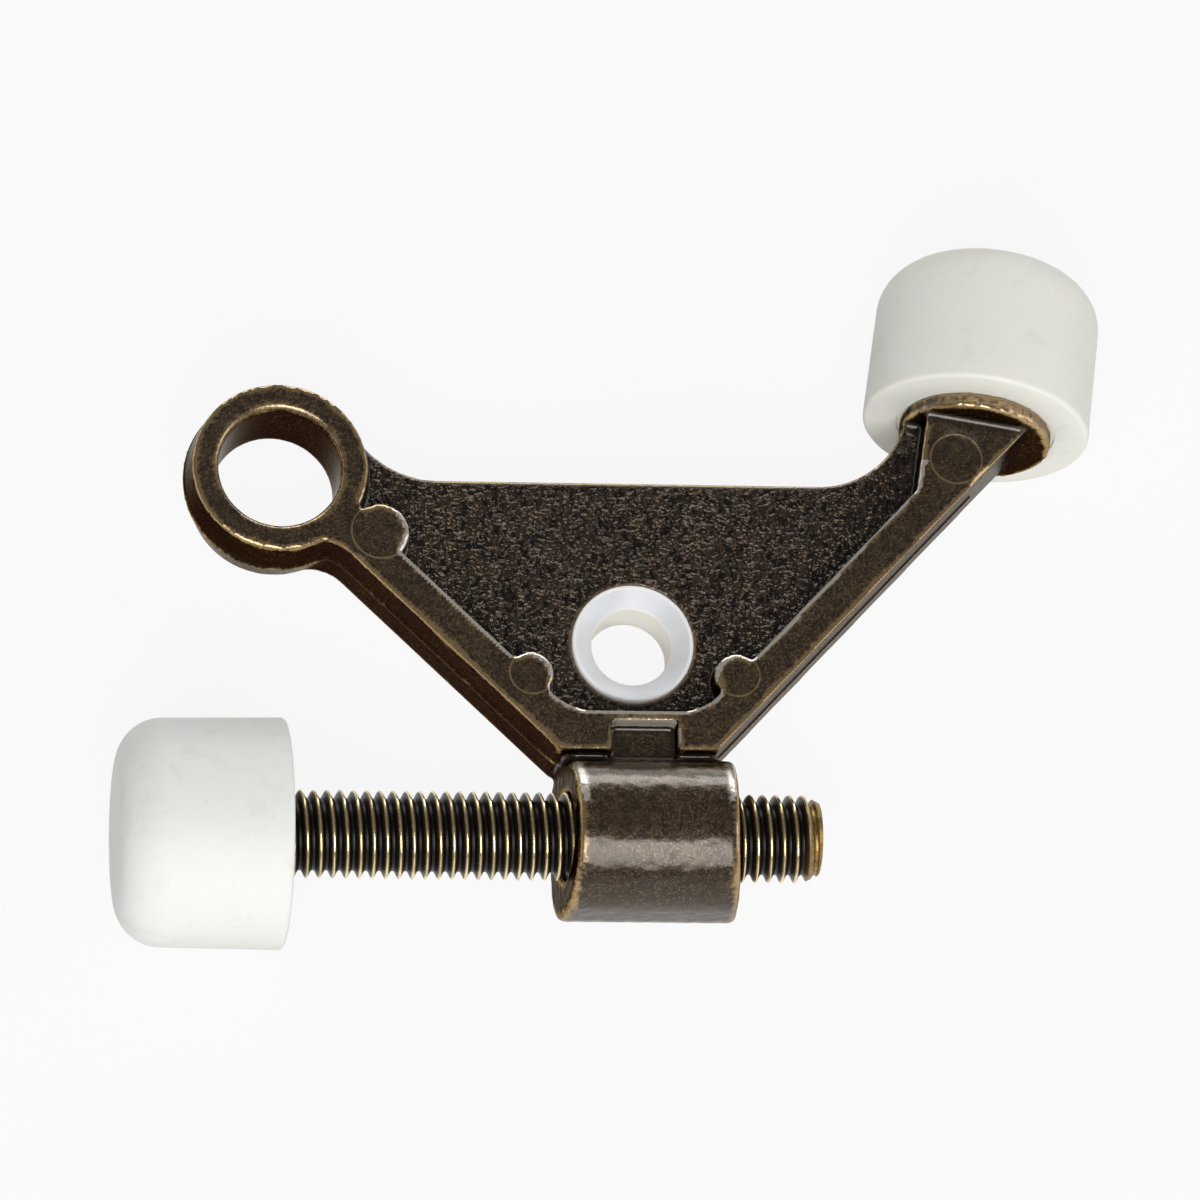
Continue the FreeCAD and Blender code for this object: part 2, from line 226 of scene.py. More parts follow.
casting = {
    "voxel": 0.27 * mm,
    "roundPasses": 5,
    "webTop": 1.3 * mm,          # height of the recessed web's faces above and below the middle
    "webBand": 0.10 * mm,
    "webLevel": 0.9,             # how level a face has to be to count as the web's
    "pebbleSize": 0.55 * mm,
    "pebbleDepth": 0.24 * mm,
    "skinSize": 0.9 * mm,
    "skinDepth": 0.065 * mm,     # orange peel on the boss
    "skinShare": 0.19,           # of that depth, away from the boss
    "wearPasses": 6,
    "wearBlur": 3,
    "wearFull": 0.080 * mm,      # how far an edge stands out where it is worn through
    "wallLevel": 0.7,            # a face less level than this counts as a wall
    "bossFacing": 0.35,          # how far the boss's ends and underside turn sideways or down
    "wallFade": 0.4,
    "underShare": 0.5,
    "holes": [(-31.6 * mm, 15.4 * mm), (0.0, 0.0)],
    "holeReach": 6.5 * mm,
    "bossTop": -11.0 * mm,
    "headCorner": (20.0 * mm, 15.0 * mm),
    "seamRise": 0.16 * mm,       # ridge where the two halves of the mould met
    "seamWidth": 0.20 * mm,
    "seamLevel": 0.6,
    "seamLeast": 0.05,
    "pads": [(-22.76 * mm, 9.39 * mm, 2.6 * mm), (-9.57 * mm, -3.8 * mm, 2.0 * mm),
             (8.93 * mm, -3.8 * mm, 2.0 * mm), (29.68 * mm, 17.12 * mm, 2.35 * mm)],
    "padLine": 0.11 * mm,
    "railTop": 4.1 * mm,
    "recessCentre": (0.0, 8.0 * mm),
    "highlightGain": 1.8,           # painted highlight on the edges round the inside of the frame
    "highlightMost": 1.5,
    "highlightFacing": 0.12,
    "highlightDepth": 0.6 * mm,
    "highlightTop": 17.0 * mm,      # the head keeps its gold above this
    "eyeReach": 10.6 * mm,       # and the eye within this
    "notch": ((-2.5 * mm, 3.3 * mm), -8.1 * mm, 2.1 * mm),  # from side to side, its top wall, its floor
    "notchBand": 0.35 * mm,
    "broadGrain": 160,           # scales of the noises
    "blotchGrain": 1300,
    "speckGrain": 3200,
    "fleckGrain": 5200,
    "pebbleGrain": 1900,
    "darkBrown": sheetColour(78, 64, 49),
    "blackBrown": sheetColour(38, 30, 23),
    "warmBrown": sheetColour(120, 97, 70),
    "wornGold": sheetColour(204, 172, 124),
    "highlightSilver": sheetColour(216, 208, 196),
    "edgeTint": (0.42, 0.38, 0.34, 1.0),
    "edgeGold": 0.7,
    "fleckGold": 0.2,
    "creviceShade": 0.8,
    "pitShade": 0.9,
    "highlightShare": 0.9,
    "pebbleRelief": 11.5,
    "bumpStrength": 0.5,
    "bumpDepth": 0.12 * mm,
    "faceMetallic": 0.42,
    "wallMetallic": 0.97,
    "highlightMetallic": 0.6,
    "roughness": 0.22,
    "specular": 0.6,
    "lacquer": 0.95,
    "lacquerRoughness": 0.16,
    "wallShade": 0.85,           # painted shade: how much darker the walls are than the faces
    "pitShadeBlack": sheetColour(14, 11, 8),
    "wallShadeBrown": sheetColour(38, 32, 21),
}


def neighbourMean(points, edges, count):
    total = np.zeros_like(points)
    np.add.at(total, edges[:, 0], points[edges[:, 1]])
    np.add.at(total, edges[:, 1], points[edges[:, 0]])
    return total / count[:, None]


def readMesh(mesh):
    points = np.empty(len(mesh.vertices) * 3)
    normals = np.empty(len(mesh.vertices) * 3)
    edges = np.empty(len(mesh.edges) * 2, dtype=np.int64)
    mesh.vertices.foreach_get("co", points)
    mesh.vertices.foreach_get("normal", normals)
    mesh.edges.foreach_get("vertices", edges)
    return points.reshape(-1, 3), normals.reshape(-1, 3), edges.reshape(-1, 2)


def onWebFace(points, normals, size):
    near = np.abs(np.abs(points[:, 2]) - size["webTop"]) < size["webBand"]
    return near & (np.abs(normals[:, 2]) > size["webLevel"])


def writeWear(piece, size):
    # how far each point stands out from its surroundings: high on edges, low in corners
    points, normals, edges = readMesh(piece.data)
    count = np.bincount(edges.ravel(), minlength=len(points)).clip(1)
    smooth = points.copy()
    for _ in range(size["wearPasses"]):
        smooth = 0.3 * smooth + 0.7 * neighbourMean(smooth, edges, count)
    stand = ((points - smooth) * normals).sum(axis=1) / size["wearFull"]
    stand = stand[:, None]
    for _ in range(size["wearBlur"]):
        stand = 0.5 * stand + 0.5 * neighbourMean(stand, edges, count)
    # side walls and bores, which get painted shade, more metal and no lacquer
    onBoss = points[:, 1] <= size["bossTop"]
    fade = size["wallFade"]
    wall = np.clip((size["wallLevel"] - np.abs(normals[:, 2])) / fade, 0, 1) * ~onBoss
    # and the boss: its two ends, and half as much its underside, with the same painted shade
    ends = np.clip((np.abs(normals[:, 0]) - size["bossFacing"]) / fade, 0, 1)
    under = size["underShare"] * np.clip((-normals[:, 1] - size["bossFacing"]) / fade, 0, 1)
    wall = np.maximum(wall, np.maximum(ends, under) * onBoss)
    # painted highlight on edges: round the inside of the frame, and the notch's top wall
    inward = np.array(size["recessCentre"]) - points[:, :2]
    inward /= np.linalg.norm(inward, axis=1, keepdims=True).clip(1e-9)
    facing = (normals[:, :2] * inward).sum(axis=1)
    edgeHighlight = (size["highlightGain"] * stand.ravel()).clip(0, size["highlightMost"]) * (facing > size["highlightFacing"])
    edgeHighlight *= points[:, 2] > size["railTop"] - size["highlightDepth"]
    eyeX, eyeY = size["holes"][0]
    edgeHighlight *= np.hypot(points[:, 0] - eyeX, points[:, 1] - eyeY) > size["eyeReach"]
    edgeHighlight *= points[:, 1] < size["highlightTop"]
    (left, right), low, bottom = size["notch"]
    notch = (np.abs(points[:, 1] - low) < size["notchBand"]) & (normals[:, 1] < -0.5)
    notch &= (points[:, 2] > bottom + size["notchBand"]) & (points[:, 0] > left) & (points[:, 0] < right)
    edgeHighlight[notch] = 1.0
    web = onWebFace(points, normals, size)
    for name, values in (("wear", stand.ravel()), ("wall", wall), ("edgeHighlight", edgeHighlight), ("web", web)):
        layer = piece.data.attributes.new(name, "FLOAT", "POINT")
        layer.data.foreach_set("value", values.astype(np.float32))


def raiseSeam(piece, size):
    # the mould's parting line, on the outside walls only
    points, normals, _ = readMesh(piece.data)
    wall = (np.abs(normals[:, 2]) < size["seamLevel"]) & (points[:, 1] > size["bossTop"])
    wall &= (points[:, 0] < size["headCorner"][0]) | (points[:, 1] < size["headCorner"][1])
    for x, y in size["holes"]:
        wall &= np.hypot(points[:, 0] - x, points[:, 1] - y) > size["holeReach"]
    height = np.exp(-(points[:, 2] / size["seamWidth"]) ** 2)
    seam = piece.vertex_groups.new(name="seam")
    for index in np.flatnonzero(wall & (height > size["seamLeast"])).tolist():
        seam.add([index], float(height[index]), "REPLACE")
    applyModifier(piece, "DISPLACE", vertex_group="seam", strength=size["seamRise"], mid_level=0.0)
    piece.vertex_groups.clear()


def raiseSkin(piece, size):
    # pebbles on the recessed web, orange peel on the boss, and a faint one everywhere else
    points, normals, _ = readMesh(piece.data)
    onWeb = onWebFace(points, normals, size)
    web = piece.vertex_groups.new(name="web")
    web.add(np.flatnonzero(onWeb).tolist(), 1.0, "REPLACE")
    rest = piece.vertex_groups.new(name="rest")
    onBoss = points[:, 1] <= size["bossTop"]
    rest.add(np.flatnonzero(~onWeb & ~onBoss).tolist(), size["skinShare"], "REPLACE")
    rest.add(np.flatnonzero(onBoss).tolist(), 1.0, "REPLACE")
    for group, grain, depth in (("web", size["pebbleSize"], size["pebbleDepth"]),
                                ("rest", size["skinSize"], size["skinDepth"])):
        cloud = bpy.data.textures.new(group + "Grain", "CLOUDS")
        cloud.noise_scale = grain
        cloud.noise_depth = 1
        applyModifier(piece, "DISPLACE", texture=cloud, vertex_group=group, strength=depth, mid_level=0.5)
    piece.vertex_groups.clear()


def makeCastingMaterial(size):
    material, start, shader = newMaterial("antiqueBronze")
    place = start.node("TexCoord", {}, {}, out="Object")
    height = start.node("SeparateXYZ", {}, {"Vector": place}, out="Z")
    wear = start.node("Attribute", {"attribute_name": "wear"}, {}, out="Fac")
    wall = start.node("Attribute", {"attribute_name": "wall"}, {}, out="Fac")
    broad = noiseAt(place, size["broadGrain"], 3.0, 0.6)
    blotch = noiseAt(place, size["blotchGrain"], 4.0, 0.65)
    speck = noiseAt(place, size["speckGrain"], 2.0, 0.6)
    fleck = noiseAt(place, size["fleckGrain"], 1.0, 0.5)
    # pebbled skin of the web
    web = start.node("Attribute", {"attribute_name": "web"}, {}, out="Fac")
    pebble = noiseAt(place, size["pebbleGrain"], 1.0, 0.4, 0.25)
    # the brown lacquer, cloudy and flecked with the bronze under it
    cloudy = (0.25 + 0.65 * step(blotch, 0.36, 0.68)) * (1 - 0.35 * web)
    brown = blendColour(cloudy, size["blackBrown"], size["darkBrown"])
    brown = blendColour(step(speck, 0.48, 0.72) * (0.38 - 0.18 * web), brown, size["warmBrown"])
    # painted shade on the walls and bores, and on the boss's ends and underside
    brown = blendColour(wall * size["wallShade"], brown, size["wallShadeBrown"])
    flecks = step(fleck, 0.54, 0.68) * step(broad, 0.30, 0.60) * (1 - 0.7 * web) * (1 - 0.6 * wall)
    # worn edges, broken up so that the line isn't even
    uneven = (broad - 0.5) + (blotch - 0.5) * 0.9 + (speck - 0.5) * 0.8
    edge = step(wear + uneven, 0.34, 0.95) * (1 - web)
    # painted shade in corners and creases, where a point sits below its surroundings
    crevice = step(0.0 - wear, 0.15, 0.9)
    gold = start.maths("MAXIMUM", edge * size["edgeGold"], flecks * size["fleckGold"])
    # a thin worn line round each pad, on the front only
    flat = start.node("VectorMath", {"operation": "MULTIPLY"}, {0: place, 1: (1, 1, 0)})
    front = step(height, size["railTop"] - 0.15 * mm, size["railTop"] - 0.05 * mm)
    for x, y, radius in size["pads"]:
        reach = start.node("VectorMath", {"operation": "DISTANCE"}, {0: flat, 1: (x, y, 0)}, out="Value")
        away = start.maths("ABSOLUTE", reach - radius)
        line = (1 - step(away + (speck - 0.5) * (0.1 * mm), 0.4 * size["padLine"], size["padLine"])) * front
        gold = start.maths("MAXIMUM", gold, line * (0.35 + 0.5 * step(blotch, 0.35, 0.65)))
    colour = blendColour(gold, brown, size["wornGold"])
    colour = blendColour(crevice * size["creviceShade"], colour, size["blackBrown"])
    # painted shade in the pits between the web's pebbles
    pits = (1 - step(pebble, 0.36, 0.56)) * web
    colour = blendColour(pits * size["pitShade"], colour, size["pitShadeBlack"])
    # painted highlight: pale silver on those edges and on the notch's top wall
    edgeHighlight = start.node("Attribute", {"attribute_name": "edgeHighlight"}, {}, out="Fac")
    paintedHighlight = step(edgeHighlight + (speck - 0.5) * 0.6 + (blotch - 0.5) * 0.5, 0.30, 0.85) * size["highlightShare"]
    colour = blendColour(paintedHighlight, colour, size["highlightSilver"])
    skin = speck * 0.5 + blotch * 0.5
    relief = pebble * web * size["pebbleRelief"] + skin * (1 - web * 0.8)
    connect(shader, "Base Color", colour)
    connect(shader, "Roughness", size["roughness"] + (speck - 0.5) * 0.25 + (blotch - 0.5) * 0.1 - web * 0.14)
    metal = start.maths("MAXIMUM", size["faceMetallic"] + gold * 0.5, wall * size["wallMetallic"])
    connect(shader, "Metallic", metal * (1 - paintedHighlight) + paintedHighlight * size["highlightMetallic"])
    connect(shader, "Coat Weight", size["lacquer"] * (1 - wall))
    connect(shader, "Normal", bumpOf(relief, size["bumpStrength"], size["bumpDepth"]))
    shader.inputs["Specular IOR Level"].default_value = size["specular"]
    shader.inputs["Specular Tint"].default_value = size["edgeTint"]
    shader.inputs["Coat Roughness"].default_value = size["lacquerRoughness"]
    return material


def makeCasting(size):
    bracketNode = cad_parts["bracket"]
    piece = bpy.data.objects.new("castBracket", bracketNode.data.copy())
    bpy.context.scene.collection.objects.link(piece)
    pickOnly(piece)
    bpy.ops.object.mode_set(mode="EDIT")
    bpy.ops.mesh.select_all(action="SELECT")
    bpy.ops.mesh.remove_doubles(threshold=0.001 * mm)
    bpy.ops.object.mode_set(mode="OBJECT")
    cadNormals = piece.data.attributes.get("custom_normal")
    if cadNormals:
        piece.data.attributes.remove(cadNormals)
    applyModifier(piece, "REMESH", mode="VOXEL", voxel_size=size["voxel"], adaptivity=0.0)
    applyModifier(piece, "SMOOTH", factor=0.5, iterations=size["roundPasses"])
    print("casting remeshed:", len(piece.data.polygons), "faces")
    raiseSeam(piece, size)
    writeWear(piece, size)
    raiseSkin(piece, size)
    finishPiece(piece, "stop", "bracket", makeCastingMaterial(size), 40)


makeCasting(casting)


# adjusting screw: rolled thread, bright on its crests

screw = {
    "axisY": -17.8 * mm,
    "radius": 3.95 * mm,
    "rootRadius": 3.2 * mm,
    "pitch": 1.183 * mm,
    "firstCrest": -30.30 * mm,   # a crest passes the top of the screw here
    "freeEnd": 16.2 * mm,
    "taperLength": 1.5 * mm,
    "taperRadius": 3.25 * mm,
    "knobStart": -36.75 * mm,
    "knobLength": 3.0 * mm,
    "knobRadius": 5.4 * mm,
    "knobRound": 0.4 * mm,
    "knobOverlap": 0.2 * mm,     # how far the thread runs into the knob
    "endSpare": 0.3 * mm,        # and past the free end, before that is ground
    "cutThreshold": 0.001 * mm,  # bisect's own, 0.1 mm, leaves the cuts open
    "leadTurns": 7,
    "spareTurns": 4,
    "stepsPerTurn": 56,
    "sides": 96,
    # one tooth from root to root: share of the pitch along, share of the depth up
    "tooth": [(0.0, 0.0), (0.10, 0.03), (0.20, 0.25), (0.40, 0.86), (0.46, 0.98), (0.54, 0.98), (0.60, 0.86),
              (0.80, 0.25), (0.90, 0.03), (1.0, 0.0)],
    "fineGrain": 2600,           # scales of the noises
    "patchGrain": 420,
    "rootBlack": sheetColour(16, 12, 8),
    "flankBrown": sheetColour(52, 40, 28),
    "crestGold": sheetColour(248, 226, 174),
    "endBrass": sheetColour(176, 144, 90),
}


def makeScrewMaterial(size):
    material, start, shader = newMaterial("threadBronze")
    place = start.node("TexCoord", {}, {}, out="Object")
    parts = start.node("Mapping", {}, {"Vector": place, "Location": (0, -size["axisY"], 0)})
    along = start.node("SeparateXYZ", {}, {"Vector": parts}, out="X")
    across = start.node("SeparateXYZ", {}, {"Vector": parts}, out="Y")
    up = start.node("SeparateXYZ", {}, {"Vector": parts}, out="Z")
    radius = start.maths("SQRT", across * across + up * up)
    grain = noiseAt(place, size["fineGrain"], 3.0, 0.6)
    patch = noiseAt(place, size["patchGrain"], 2.0, 0.5)
    crest = step(radius + (grain - 0.5) * (0.10 * mm), size["radius"] - 0.22 * mm, size["radius"] - 0.05 * mm)
    worn = crest * (0.55 + 0.45 * step(patch, 0.3, 0.6))
    # the ground end shows brass all over
    end = step(along, size["freeEnd"] - size["taperLength"] * 1.1, size["freeEnd"] - size["taperLength"] * 0.5)
    bright = worn * (1 - end)
    brass = end * (0.4 + 0.5 * step(grain, 0.35, 0.6))
    flank = step(radius, size["rootRadius"] + 0.1 * mm, size["radius"] - 0.2 * mm)
    dark = blendColour(flank * 0.8 + (grain - 0.5) * 0.4, size["rootBlack"], size["flankBrown"])
    colour = blendColour(bright, dark, size["crestGold"])
    connect(shader, "Base Color", blendColour(brass, colour, size["endBrass"]))
    connect(shader, "Roughness", 0.40 - bright * 0.17 + (grain - 0.5) * 0.2)
    connect(shader, "Metallic", 0.5 + (bright + brass) * 0.45)
    connect(shader, "Normal", bumpOf(grain, 0.25, 0.05 * mm))
    return material


def makeScrew(size):
    half = size["pitch"] / 2
    depth = size["radius"] - size["rootRadius"]
    tooth = size["tooth"]
    knobEnd = size["knobStart"] - size["knobLength"]
    turns = int((size["freeEnd"] - size["knobStart"]) / size["pitch"]) + size["spareTurns"]
    startX = size["firstCrest"] - half - size["leadTurns"] * size["pitch"]
    bpy.ops.object.select_all(action="DESELECT")
    bpy.ops.mesh.primitive_plane_add(size=size["pitch"], location=(0, 0, 0))
    piece = bpy.context.object
    piece.name = "threadedScrew"
    bpy.ops.object.mode_set(mode="EDIT")
    bpy.ops.mesh.select_all(action="SELECT")
    bpy.ops.mesh.merge(type="CENTER")
    bpy.ops.transform.translate(value=(0, size["rootRadius"], 0))
    for (fromAlong, fromRise), (toAlong, toRise) in zip(tooth, tooth[1:]):
        move = ((toAlong - fromAlong) * size["pitch"], (toRise - fromRise) * depth, 0)
        bpy.ops.mesh.extrude_vertices_move(TRANSFORM_OT_translate={"value": move})
    bpy.ops.object.mode_set(mode="OBJECT")
    applyModifier(piece, "SCREW", axis="X", angle=math.tau, screw_offset=size["pitch"], iterations=turns,
                  steps=size["stepsPerTurn"], render_steps=size["stepsPerTurn"], use_merge_vertices=True,
                  merge_threshold=0.001 * mm, use_normal_calculate=True)
    placePiece(piece, Matrix.Translation((startX, size["axisY"], 0)))
    bpy.ops.object.mode_set(mode="EDIT")
    cuts = ((size["knobStart"] - size["knobOverlap"], -1), (size["freeEnd"] + size["endSpare"], 1))
    for place, outward in cuts:
        bpy.ops.mesh.select_all(action="SELECT")
        bpy.ops.mesh.bisect(plane_co=(place, 0, 0), plane_no=(outward, 0, 0), use_fill=True, clear_outer=True,
                            threshold=size["cutThreshold"])
    bpy.ops.mesh.select_all(action="SELECT")
    bpy.ops.mesh.remove_doubles(threshold=0.002 * mm)
    bpy.ops.mesh.normals_make_consistent(inside=False)
    bpy.ops.object.mode_set(mode="OBJECT")
    # the envelope that grinds the free end to a taper
    outside = 1.2 * size["radius"]
    envelope = turnedPiece("grinding", [
        (knobEnd - size["pitch"], outside),
        (size["freeEnd"] - size["taperLength"] - (outside - size["radius"]), outside),
        (size["freeEnd"] - size["taperLength"], size["radius"]),
        (size["freeEnd"] - 0.25 * mm, size["taperRadius"] + 0.15 * mm),
        (size["freeEnd"], size["taperRadius"]),
    ], size["sides"], closed=False)
    alongX = Matrix.Translation((0, size["axisY"], 0)) @ Matrix.Rotation(math.pi / 2, 4, "Y")
    placePiece(envelope, alongX)
    applyModifier(piece, "BOOLEAN", operation="INTERSECT", object=envelope, solver="EXACT")
    bpy.data.objects.remove(envelope)
    knobRings = [(knobEnd, size["knobRadius"]), (size["knobStart"], size["knobRadius"])]
    knob = turnedPiece("knob", knobRings, size["sides"], closed=False)
    for along, radius in knobRings:
        bevelRing(knob, along, radius, size["knobRound"], 4)
    placePiece(knob, alongX)
    applyModifier(piece, "BOOLEAN", operation="UNION", object=knob, solver="EXACT")
    bpy.data.objects.remove(knob)
    pickOnly(piece)
    bpy.ops.object.mode_set(mode="EDIT")
    bpy.ops.mesh.select_all(action="SELECT")
    bpy.ops.mesh.remove_doubles(threshold=0.002 * mm)
    bpy.ops.mesh.dissolve_degenerate(threshold=0.001 * mm)
    bpy.ops.mesh.normals_make_consistent(inside=False)
    bpy.ops.object.mode_set(mode="OBJECT")
    finishPiece(piece, "screw", "adjusting_screw", makeScrewMaterial(size), 40)


makeScrew(screw)


# rubber tips

tip = {
    "length": 14.9 * mm,
    "mouthRadius": 10.3 * mm,
    "endRadius": 10.1 * mm,
    "mouthRound": 0.45 * mm,
    "endRound": 4.0 * mm,
    "seatRadius": 7.2 * mm,
    "seatDepth": 0.2 * mm,
    "seatRound": 0.12 * mm,
    "neckRadius": 4.0 * mm,
    "socketDepth": 5.0 * mm,
    "knobRadius": 5.45 * mm,
    "socketEnd": 8.1 * mm,
    "centreRadius": 0.02 * mm,   # the flat ends close on a ring this small
    "sides": 144,
    "sideSteps": 4,
    "cloudGrain": 70,            # scales of the noises
    "mottleGrain": 420,
    "grimeGrain": 240,
    "spotGrain": 1500,
    "fineGrain": 3000,
    "offWhite": sheetColour(238, 239, 234),
    "creamGrey": sheetColour(238, 236, 224),
    "smudge": sheetColour(176, 172, 160),
    "screwPlace": (-31.7 * mm, -17.8 * mm, 0.0),
    "headPlace": (32.15 * mm, 20.35 * mm, 0.0),
    "headLean": 9.6,
    "headTilt": 6.0,
    "flangeGap": 1.25 * mm,      # from the flange's foot to the tip's mouth
}


def makeRubberMaterial(size):
    material, start, shader = newMaterial("offWhiteRubber")
    place = start.node("TexCoord", {}, {}, out="Object")
    cloud = noiseAt(place, size["cloudGrain"], 3.0, 0.55)
    mottle = noiseAt(place, size["mottleGrain"], 4.0, 0.6)
    grime = noiseAt(place, size["grimeGrain"], 5.0, 0.7, 0.6)
    spot = noiseAt(place, size["spotGrain"], 2.0, 0.5)
    grain = noiseAt(place, size["fineGrain"], 2.0, 0.6)
    side = start.node("SeparateXYZ", {}, {"Vector": place}, out="X")
    aged = step(side, 0.0, size["headPlace"][0]) * 0.5  # the head's tip has yellowed a little more
    yellowed = aged + step(cloud, 0.4, 0.75) * 0.4 + (mottle - 0.5) * 0.5
    colour = blendColour(yellowed, size["offWhite"], size["creamGrey"])
    dirt = step(grime, 0.52, 0.80) * 0.22 + step(spot, 0.70, 0.78) * 0.2
    connect(shader, "Base Color", blendColour(dirt, colour, size["smudge"]))
    connect(shader, "Roughness", 0.58 + (mottle - 0.5) * 0.2)
    connect(shader, "Normal", bumpOf(grain * 0.5 + mottle, 0.12, 0.10 * mm))
    shader.inputs["Subsurface Weight"].default_value = 0.12
    shader.inputs["Subsurface Scale"].default_value = 0.8 * mm
    shader.inputs["Specular IOR Level"].default_value = 0.35
    return material


def makeTip(name, size, body, node, matrix, material):
    mouthToEnd = size["length"]
    rings = [
        (size["socketEnd"], size["centreRadius"]),
        (size["socketEnd"], size["knobRadius"]),
        (size["socketDepth"], size["knobRadius"]),
        (size["socketDepth"], size["neckRadius"]),
        (size["seatDepth"], size["neckRadius"]),
        (size["seatDepth"], size["seatRadius"]),
        (0.0, size["seatRadius"]),
        (0.0, size["mouthRadius"]),
    ]
    sideEnd = 1 - 1.1 * size["endRound"] / mouthToEnd
    for i in range(1, size["sideSteps"] + 1):  # the side, drawn in slightly towards the end
        share = sideEnd * i / size["sideSteps"]
        radius = size["mouthRadius"] + (size["endRadius"] - size["mouthRadius"]) * share
        rings.append((mouthToEnd * share, radius))
    rings.append((mouthToEnd, size["endRadius"]))
    rings.append((mouthToEnd, size["centreRadius"]))
    piece = turnedPiece(name, rings, size["sides"], closed=False)
    bevelRing(piece, mouthToEnd, size["endRadius"], size["endRound"], 14)
    bevelRing(piece, 0.0, size["mouthRadius"], size["mouthRound"], 6)
    bevelRing(piece, 0.0, size["seatRadius"], size["seatRound"], 2)
    placePiece(piece, matrix)
    finishPiece(piece, body, node, material, 35)


rubber = makeRubberMaterial(tip)
towardsEnd = Matrix.Rotation(-math.pi / 2, 4, "Y")  # local z to -X
onScrew = Matrix.Translation(tip["screwPlace"]) @ towardsEnd
lean = Matrix.Rotation(math.radians(-tip["headLean"]), 4, "Z")
tilt = Matrix.Rotation(math.radians(-tip["headTilt"]), 4, "X")
alongY = Matrix.Rotation(-math.pi / 2, 4, "X")  # local z to +Y
onFlange = Matrix.Translation((0, tip["flangeGap"], 0))
onHead = Matrix.Translation(tip["headPlace"]) @ (lean @ tilt) @ onFlange @ alongY
makeTip("screwTip", tip, "tip", "adjustable_tip", onScrew, rubber)
makeTip("headTip", tip, "stop", "fixed_tip", onHead, rubber)


# nylon bushing

bushing = {
    "outside": 5.47 * mm,
    "bore": 3.6 * mm,
    "mouth": 5.2 * mm,
    "mouthDepth": 1.2 * mm,
    "top": 1.6 * mm,
    "low": -3.8 * mm,
    "edgeRound": 0.12 * mm,
    "sides": 120,
    "cloudGrain": 260,           # scales of the noises
    "fineGrain": 1800,
    "nylon": sheetColour(234, 235, 237),
    "shade": sheetColour(212, 213, 217),
    "boreLightCream": sheetColour(247, 243, 232),
    "rimHighlight": sheetColour(250, 250, 250),
}


def makeNylonMaterial(size):
    material, start, shader = newMaterial("whiteNylon")
    place = start.node("TexCoord", {}, {}, out="Object")
    cloud = noiseAt(place, size["cloudGrain"], 3.0, 0.5)
    grain = noiseAt(place, size["fineGrain"], 2.0, 0.5)
    flat = start.node("VectorMath", {"operation": "MULTIPLY"}, {0: place, 1: (1, 1, 0)})
    radius = start.node("VectorMath", {"operation": "LENGTH"}, {0: flat}, out="Value")
    colour = blendColour(step(cloud, 0.35, 0.7) * 0.6, size["nylon"], size["shade"])
    # painted light: the bore's wall paler, as if lit through the nylon from behind
    colour = blendColour(1 - step(radius, size["bore"], size["bore"] + 0.1 * mm), colour, size["boreLightCream"])
    # painted highlight on the outer rim of the mouth
    colour = blendColour(step(radius, size["mouth"] - 0.1 * mm, size["mouth"]), colour, size["rimHighlight"])
    connect(shader, "Base Color", colour)
    connect(shader, "Roughness", 0.34 + (cloud - 0.5) * 0.2)
    connect(shader, "Normal", bumpOf(grain, 0.08, 0.05 * mm))
    shader.inputs["Subsurface Weight"].default_value = 0.5
    shader.inputs["Subsurface Scale"].default_value = 1.2 * mm
    shader.inputs["Subsurface Radius"].default_value = (1.0, 0.95, 0.9)
    return material


def makeBushing(size):
    rings = [
        (size["low"], size["bore"]),
        (size["low"], size["outside"]),
        (size["top"], size["outside"]),
        (size["top"], size["mouth"]),
        (size["top"] - size["mouthDepth"], size["bore"]),
        (size["low"], size["bore"]),
    ]
    piece = turnedPiece("nylonBushing", rings, size["sides"], closed=True)
    for along, radius in ((size["top"], size["outside"]), (size["top"], size["mouth"]),
                          (size["low"], size["outside"]), (size["low"], size["bore"])):
        bevelRing(piece, along, radius, size["edgeRound"], 3)
    finishPiece(piece, "stop", "bushing", makeNylonMaterial(size), 40)


makeBushing(bushing)


# floor, light and camera

studio = {
    "floorSize": 6.0,
    "floorColour": (0.62, 0.62, 0.62, 1.0),
    "floorGlow": 0.90,           # the rest is the floor as lit, which keeps the shadow
    "bandColour": (0.8, 0.8, 0.8, 1.0),
    "ceilingColour": (0.09, 0.09, 0.095, 1.0),
    "bandTop": 0.32,
    "softboxes": [
        # name, place, size, watts; each aims at the object
        ("frontBox", (-0.15, -0.69, 0.82), (0.95, 0.76), 10.8),
        ("backBox", (0.1, 1.02, 0.24), (1.2, 0.35), 4.8),
        ("rightBox", (0.9, -0.1, 0.5), (0.6, 0.6), 2.2),
    ],
    "cameraPlace": (-128.33 * mm, -298.48 * mm, 838.5 * mm),
    "yaw": -8.527,
    "pitch": -19.671,
    "roll": -2.078,
    "focalPixels": 10042.8,
    "framePixels": 1200,
    "sensor": 36.0,
}


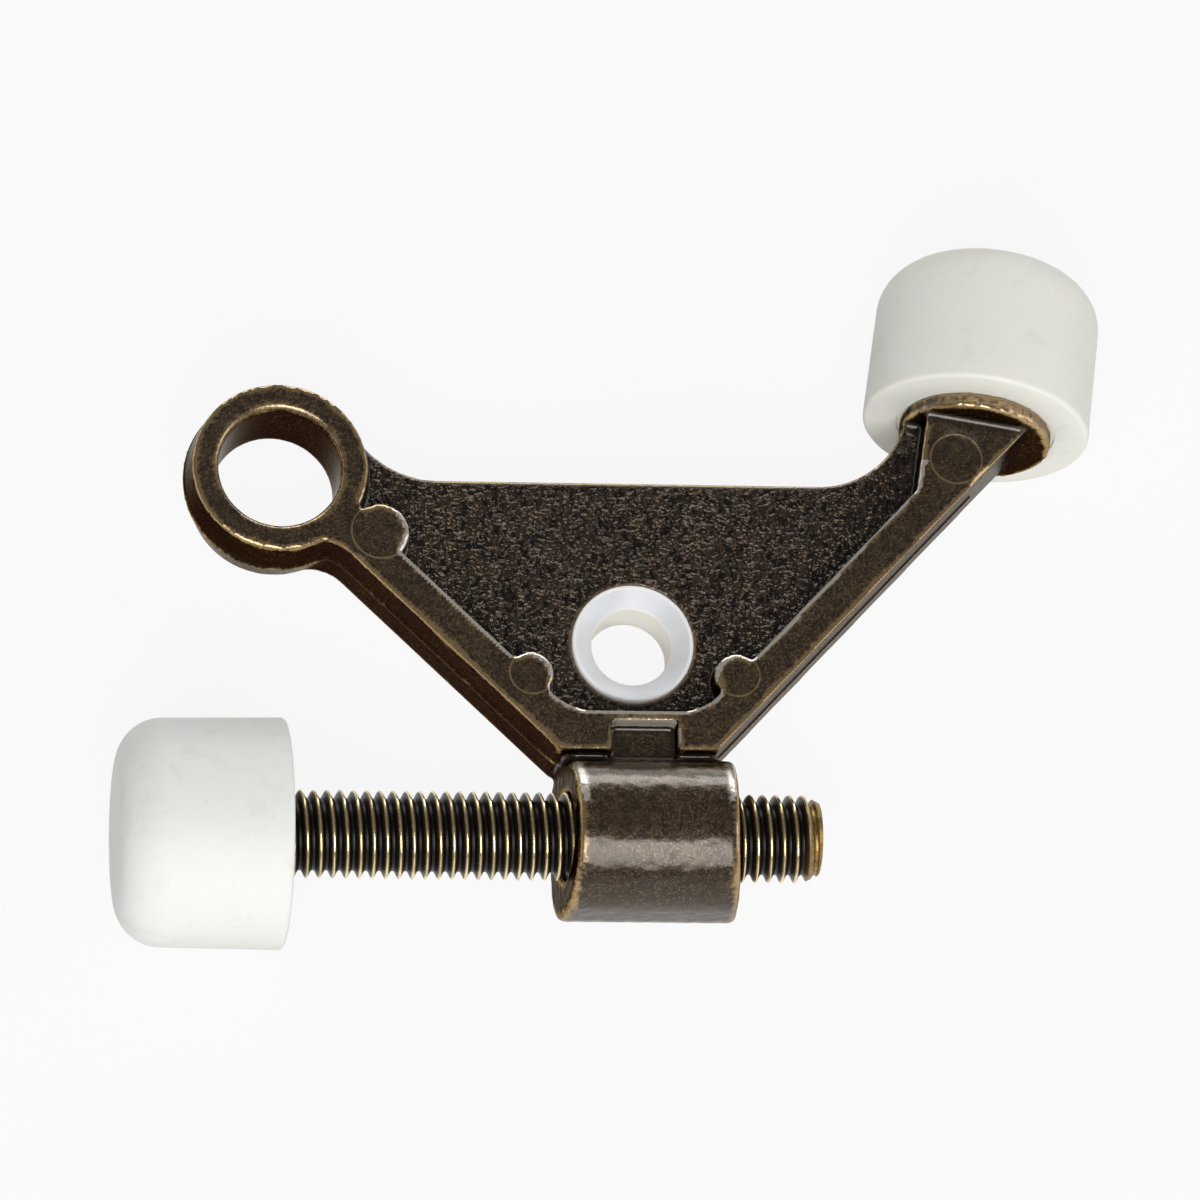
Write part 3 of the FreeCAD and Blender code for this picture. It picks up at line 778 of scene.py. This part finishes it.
def makeFloor(size):
    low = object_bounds()[0]
    bpy.ops.object.select_all(action="DESELECT")
    bpy.ops.mesh.primitive_plane_add(size=size["floorSize"], location=(0, 0, low.z))
    floor = bpy.context.object
    floor.name = "studioFloor"
    applyPlace(floor)
    material, start, shader = newMaterial("paleFloor")
    tree = start.tree
    output = next(node for node in tree.nodes if node.type == "OUTPUT_MATERIAL")
    shader.inputs["Base Color"].default_value = size["floorColour"]
    shader.inputs["Roughness"].default_value = 0.9
    seen = start.node("LightPath", {}, {}, out="Is Camera Ray")
    for ray in ("Is Glossy Ray", "Is Transmission Ray"):
        seen = start.maths("MAXIMUM", seen, start.node("LightPath", {}, {}, out=ray))
    glow = start.node("Emission", {}, {"Color": (1, 1, 1, 1), "Strength": 1.0})
    lit = Wire(tree, shader.outputs[0])
    connect(output, "Surface", start.node("MixShader", {}, {0: seen * size["floorGlow"], 1: lit, 2: glow}))
    floor.data.materials.append(material)
    floor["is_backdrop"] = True


def makeSky(size):
    world = bpy.data.worlds.new("studioSky")
    bpy.context.scene.world = world
    world.use_nodes = True
    tree = world.node_tree
    start = Wire(tree)
    background = next(node for node in tree.nodes if node.type == "BACKGROUND")
    # a pale band round the horizon under a dim ceiling
    looking = start.node("TexCoord", {}, {}, out="Generated")
    rise = start.node("SeparateXYZ", {}, {"Vector": looking}, out="Z")
    ceiling = step(rise, size["bandTop"] * 0.4, size["bandTop"])
    sky = blendColour(ceiling, size["bandColour"], size["ceilingColour"])
    connect(background, "Color", sky)


def makeLights(size):
    target = Vector((0, 0, 0))
    for name, place, (width, height), watts in size["softboxes"]:
        lamp = bpy.data.lights.new(name, "AREA")
        lamp.shape = "RECTANGLE"
        lamp.size = width
        lamp.size_y = height
        lamp.energy = watts
        holder = bpy.data.objects.new(name, lamp)
        holder.location = place
        holder.rotation_euler = (target - Vector(place)).to_track_quat("-Z", "Y").to_euler()
        bpy.context.scene.collection.objects.link(holder)


def makeCamera(size):
    turn = (Matrix.Rotation(math.radians(size["roll"]), 3, "Z")
            @ Matrix.Rotation(math.radians(size["pitch"]), 3, "X")
            @ Matrix.Rotation(math.radians(size["yaw"]), 3, "Y") @ Matrix.Diagonal((1, -1, -1)))
    view = bpy.data.cameras.new("photoCamera")
    view.sensor_width = size["sensor"]
    view.lens = size["sensor"] * size["focalPixels"] / size["framePixels"]
    view.clip_start = 0.05
    view.clip_end = 20.0
    holder = bpy.data.objects.new("photoCamera", view)
    right, up, back = turn[0], -turn[1], -turn[2]
    matrix = Matrix((right, up, back)).transposed().to_4x4()
    matrix.translation = Vector(size["cameraPlace"])
    holder.matrix_world = matrix
    bpy.context.scene.collection.objects.link(holder)
    bpy.context.scene.camera = holder


makeFloor(studio)
makeSky(studio)
makeLights(studio)
makeCamera(studio)
bpy.context.scene.view_settings.view_transform = "Standard"
print("studio ready")
